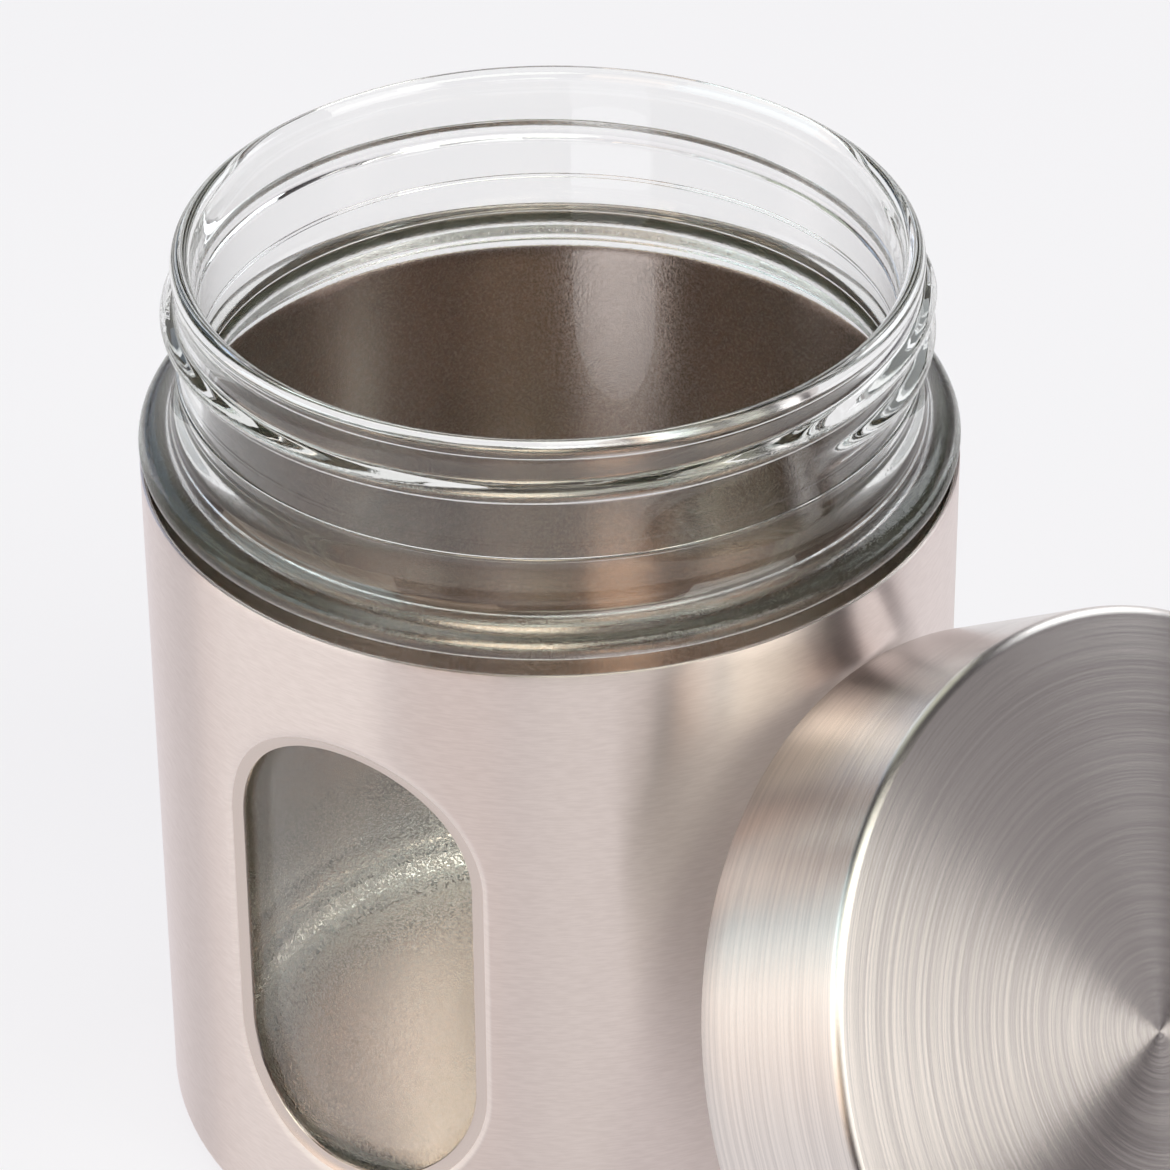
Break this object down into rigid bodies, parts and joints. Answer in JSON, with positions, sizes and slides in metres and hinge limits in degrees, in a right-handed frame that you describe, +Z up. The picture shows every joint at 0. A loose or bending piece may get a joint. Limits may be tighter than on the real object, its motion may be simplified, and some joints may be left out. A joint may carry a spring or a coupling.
{
  "type": "storage canister",
  "caption": "Food storage canister: a screw-neck glass jar in a brushed steel sleeve with a round-ended window, its steel screw lid taken off and leaning on the sleeve.",
  "frame": {"origin": "centre of the sleeve's flat underside, on the table", "axes": "+Z up along the canister's axis, +X from that axis to the leaning lid"},
  "size_m": [0.1855, 0.108, 0.133],
  "materials": {
    "sleeve_steel": "stainless sheet, brushed round the wall",
    "cushion": "white matt soft ring",
    "glass": "clear pressed glass, faintly green at the edges",
    "lid_steel": "stainless sheet, spun-brushed in fine circles on the top",
    "cap_plastic": "off-white moulded plastic",
    "seal": "white soft seal ring"
  },
  "bodies": {
    "sleeve": {"steel_sleeve": "sleeve_steel", "base_cushion": "cushion"},
    "jar": {"glass_jar": "glass"},
    "seal": {"lid_seal": "seal"},
    "lid": {"lid_shell": "lid_steel", "lid_inner_cap": "cap_plastic"}
  },
  "joints": [
    {"name": "jar_lift", "type": "slide", "parent": "sleeve", "child": "jar", "axis": [0, 0, 1], "range_m": [0, 0.11]},
    {"name": "lid_lift", "type": "slide", "parent": "sleeve", "child": "seal", "axis": [0, 0, 1], "range_m": [0, 0.15]},
    {"name": "lid_turn", "type": "hinge", "parent": "seal", "child": "lid", "pos_m": [0.08239, 0, 0.04612], "axis": [0.8541, 0, 0.5201], "continuous": true}
  ]
}
